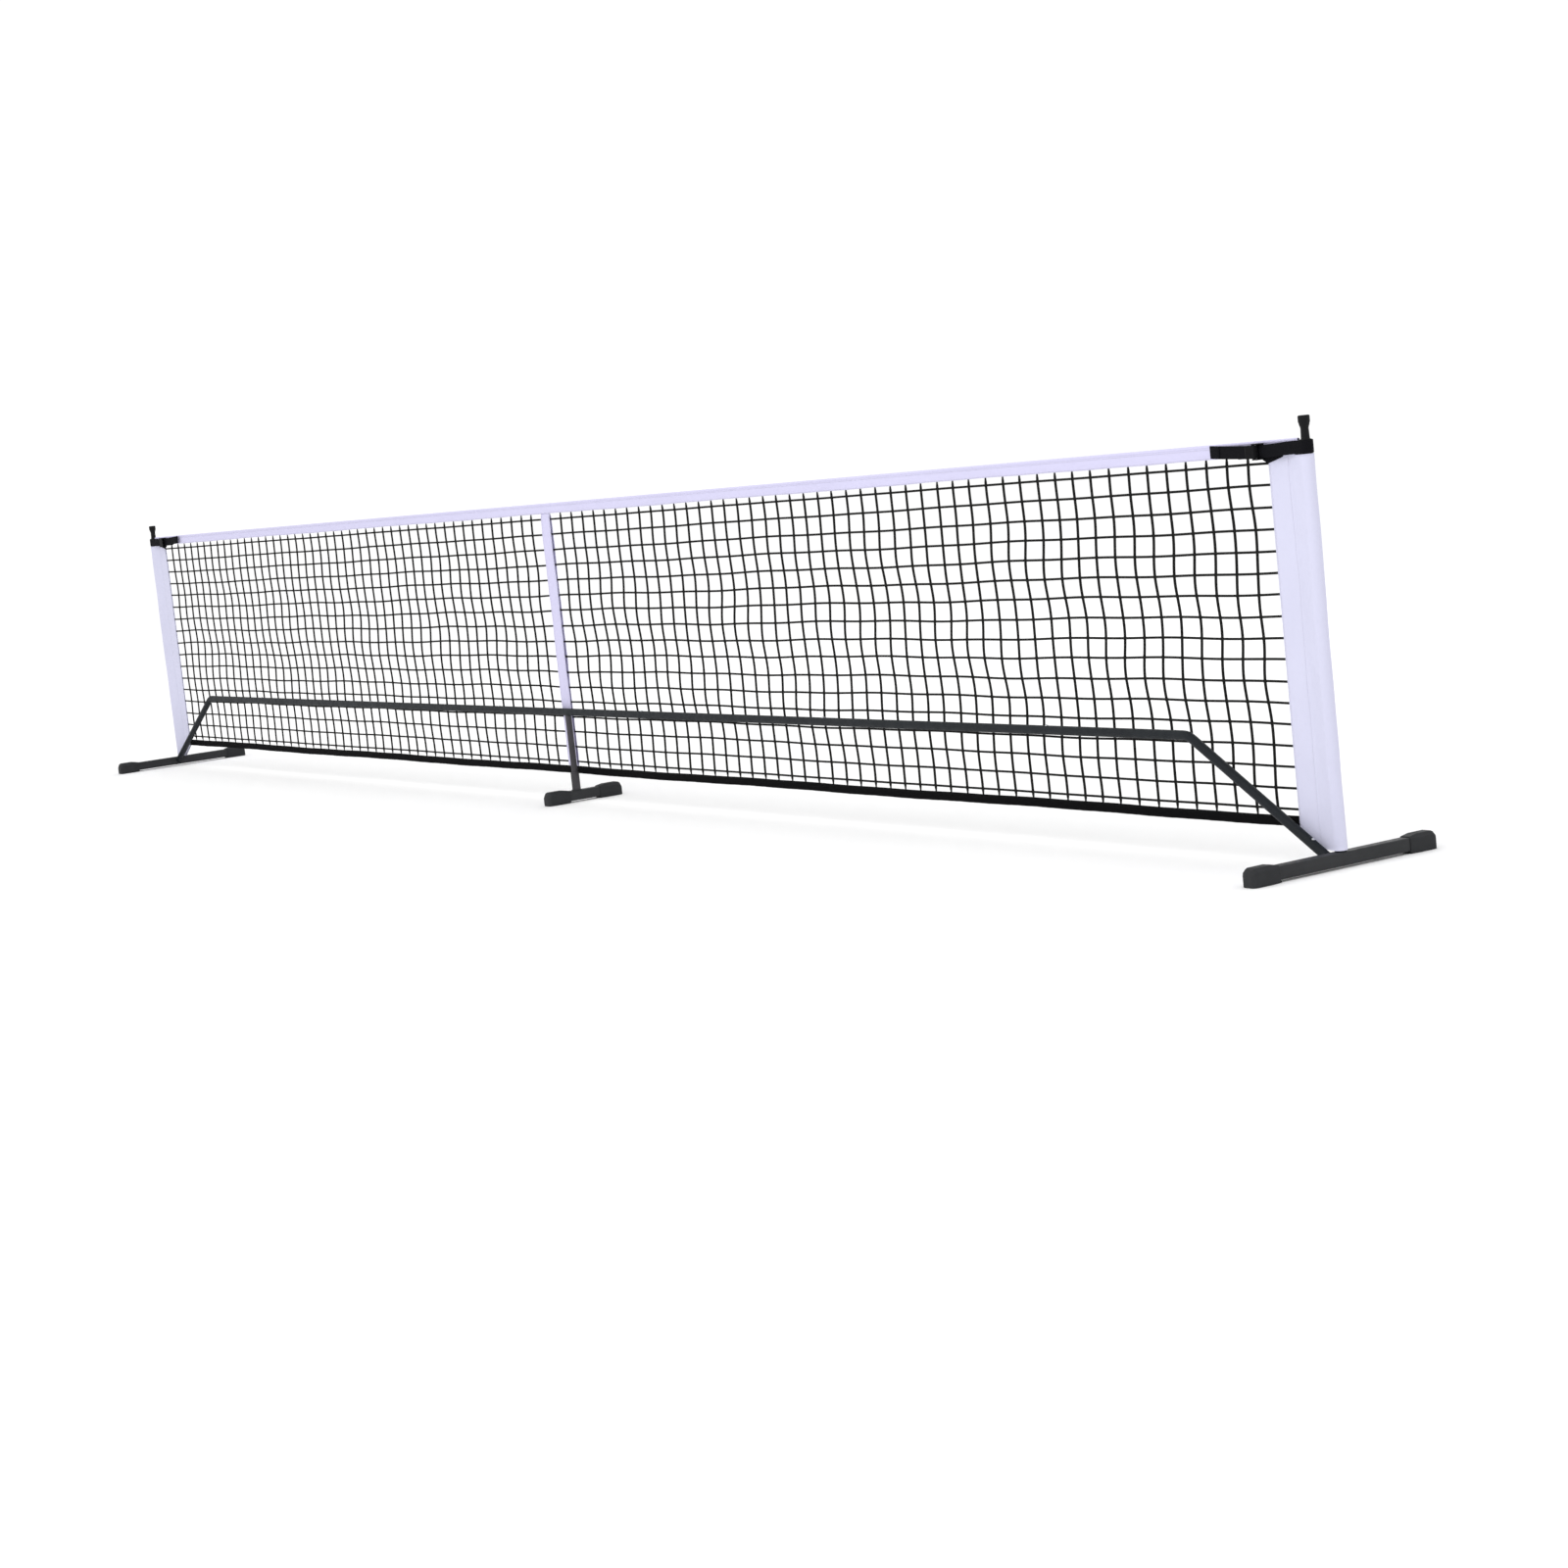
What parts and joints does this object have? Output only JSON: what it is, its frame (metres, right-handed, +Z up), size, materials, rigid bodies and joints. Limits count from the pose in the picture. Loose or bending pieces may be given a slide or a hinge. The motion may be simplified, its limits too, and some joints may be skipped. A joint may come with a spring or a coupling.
{
  "type": "portable pickleball net",
  "caption": "Free-standing knock-down court net: steel bar frame on cross feet, black netting with white tapes, two end posts and cam-buckle corner straps.",
  "frame": {"origin": "on the ground, under the middle of the net", "axes": "+X along the net, +Y across it away from the bar, +Z up"},
  "size_m": [6.742, 0.53, 0.96],
  "materials": {
    "frame_steel": "satin dark grey powder coat",
    "shoe_rubber": "matte moulded rubber",
    "cap_plastic": "fine-grained moulding",
    "buckle_plastic": "satin moulding",
    "zinc_plate": "zinc plated",
    "spring_steel": "bare spring steel",
    "white_vinyl": "coated cloth, sewn",
    "white_cord": "braided cord",
    "netting": "knotted twine",
    "black_tape": "folded coated tape",
    "webbing": "woven webbing"
  },
  "bodies": {
    "frame_and_net": {"foot_tube_left": "frame_steel", "foot_tube_right": "frame_steel", "foot_tube_centre": "frame_steel", "foot_shoes_left": "shoe_rubber", "foot_shoes_right": "shoe_rubber", "foot_shoes_centre": "shoe_rubber", "post_stub_left": "frame_steel", "post_stub_right": "frame_steel", "brace_stub_left": "frame_steel", "brace_stub_right": "frame_steel", "leg_socket": "frame_steel", "tee_stub": "frame_steel", "centre_leg": "frame_steel", "bar_centre": "frame_steel", "bar_inner_left": "frame_steel", "bar_inner_right": "frame_steel", "bar_outer_left": "frame_steel", "bar_outer_right": "frame_steel", "brace_left": "frame_steel", "brace_right": "frame_steel", "button_springs": "spring_steel", "net_mesh": "netting", "top_tape": "white_vinyl", "top_cord": "white_cord", "bottom_tape": "black_tape", "bottom_cord": "white_cord", "side_sleeve_left": "white_vinyl", "side_sleeve_right": "white_vinyl", "centre_tape": "white_vinyl", "strap_left": "webbing", "strap_right": "webbing", "anchor_strap_left": "webbing", "anchor_strap_right": "webbing", "corner_patch_left": "webbing", "corner_patch_right": "webbing", "buckle_frame_left": "buckle_plastic", "buckle_frame_right": "buckle_plastic", "cam_pin_left": "zinc_plate", "cam_pin_right": "zinc_plate", "cam_springs": "spring_steel"},
    "post_left": {"post_left": "frame_steel", "post_cap_left": "cap_plastic"},
    "post_right": {"post_right": "frame_steel", "post_cap_right": "cap_plastic"},
    "cam_lever_left": {"cam_lever_left": "buckle_plastic"},
    "cam_lever_right": {"cam_lever_right": "buckle_plastic"},
    "snap_button_inner_left": {"snap_button_inner_left": "zinc_plate"},
    "snap_button_inner_right": {"snap_button_inner_right": "zinc_plate"},
    "snap_button_middle_left": {"snap_button_middle_left": "zinc_plate"},
    "snap_button_middle_right": {"snap_button_middle_right": "zinc_plate"},
    "snap_button_outer_left": {"snap_button_outer_left": "zinc_plate"},
    "snap_button_outer_right": {"snap_button_outer_right": "zinc_plate"},
    "snap_button_brace_left": {"snap_button_brace_left": "zinc_plate"},
    "snap_button_brace_right": {"snap_button_brace_right": "zinc_plate"},
    "snap_button_leg_top": {"snap_button_leg_top": "zinc_plate"},
    "snap_button_leg_foot": {"snap_button_leg_foot": "zinc_plate"}
  },
  "joints": [
    {"name": "post_lift_left", "type": "slide", "parent": "frame_and_net", "child": "post_left", "axis": [0, 0, 1], "range_m": [0, 0.08]},
    {"name": "post_lift_right", "type": "slide", "parent": "frame_and_net", "child": "post_right", "axis": [0, 0, 1], "range_m": [0, 0.08]},
    {"name": "cam_open_left", "type": "hinge", "parent": "frame_and_net", "child": "cam_lever_left", "pos_m": [-3.217, -0.0211, 0.892], "axis": [0, 0, -1], "range_deg": [0, 70], "stiffness_Nm_per_rad": 0.03, "springref_deg": -8.59},
    {"name": "cam_open_right", "type": "hinge", "parent": "frame_and_net", "child": "cam_lever_right", "pos_m": [3.217, -0.0211, 0.892], "axis": [0, 0, 1], "range_deg": [0, 70], "stiffness_Nm_per_rad": 0.03, "springref_deg": -8.59},
    {"name": "press_inner_left", "type": "slide", "parent": "frame_and_net", "child": "snap_button_inner_left", "axis": [0, 0, -1], "range_m": [0, 0.004], "stiffness_N_per_m": 1200, "springref_m": -0.0005},
    {"name": "press_inner_right", "type": "slide", "parent": "frame_and_net", "child": "snap_button_inner_right", "axis": [0, 0, -1], "range_m": [0, 0.004], "stiffness_N_per_m": 1200, "springref_m": -0.0005},
    {"name": "press_middle_left", "type": "slide", "parent": "frame_and_net", "child": "snap_button_middle_left", "axis": [0, 0, -1], "range_m": [0, 0.004], "stiffness_N_per_m": 1200, "springref_m": -0.0005},
    {"name": "press_middle_right", "type": "slide", "parent": "frame_and_net", "child": "snap_button_middle_right", "axis": [0, 0, -1], "range_m": [0, 0.004], "stiffness_N_per_m": 1200, "springref_m": -0.0005},
    {"name": "press_outer_left", "type": "slide", "parent": "frame_and_net", "child": "snap_button_outer_left", "axis": [0, 0, -1], "range_m": [0, 0.004], "stiffness_N_per_m": 1200, "springref_m": -0.0005},
    {"name": "press_outer_right", "type": "slide", "parent": "frame_and_net", "child": "snap_button_outer_right", "axis": [0, 0, -1], "range_m": [0, 0.004], "stiffness_N_per_m": 1200, "springref_m": -0.0005},
    {"name": "press_brace_left", "type": "slide", "parent": "frame_and_net", "child": "snap_button_brace_left", "axis": [0.513, 0, -0.8584], "range_m": [0, 0.004], "stiffness_N_per_m": 1200, "springref_m": -0.0005},
    {"name": "press_brace_right", "type": "slide", "parent": "frame_and_net", "child": "snap_button_brace_right", "axis": [-0.513, 0, -0.8584], "range_m": [0, 0.004], "stiffness_N_per_m": 1200, "springref_m": -0.0005},
    {"name": "press_leg_top", "type": "slide", "parent": "frame_and_net", "child": "snap_button_leg_top", "axis": [1, 0, 0], "range_m": [0, 0.004], "stiffness_N_per_m": 1200, "springref_m": -0.0005},
    {"name": "press_leg_foot", "type": "slide", "parent": "frame_and_net", "child": "snap_button_leg_foot", "axis": [1, 0, 0], "range_m": [0, 0.004], "stiffness_N_per_m": 1200, "springref_m": -0.0005}
  ]
}
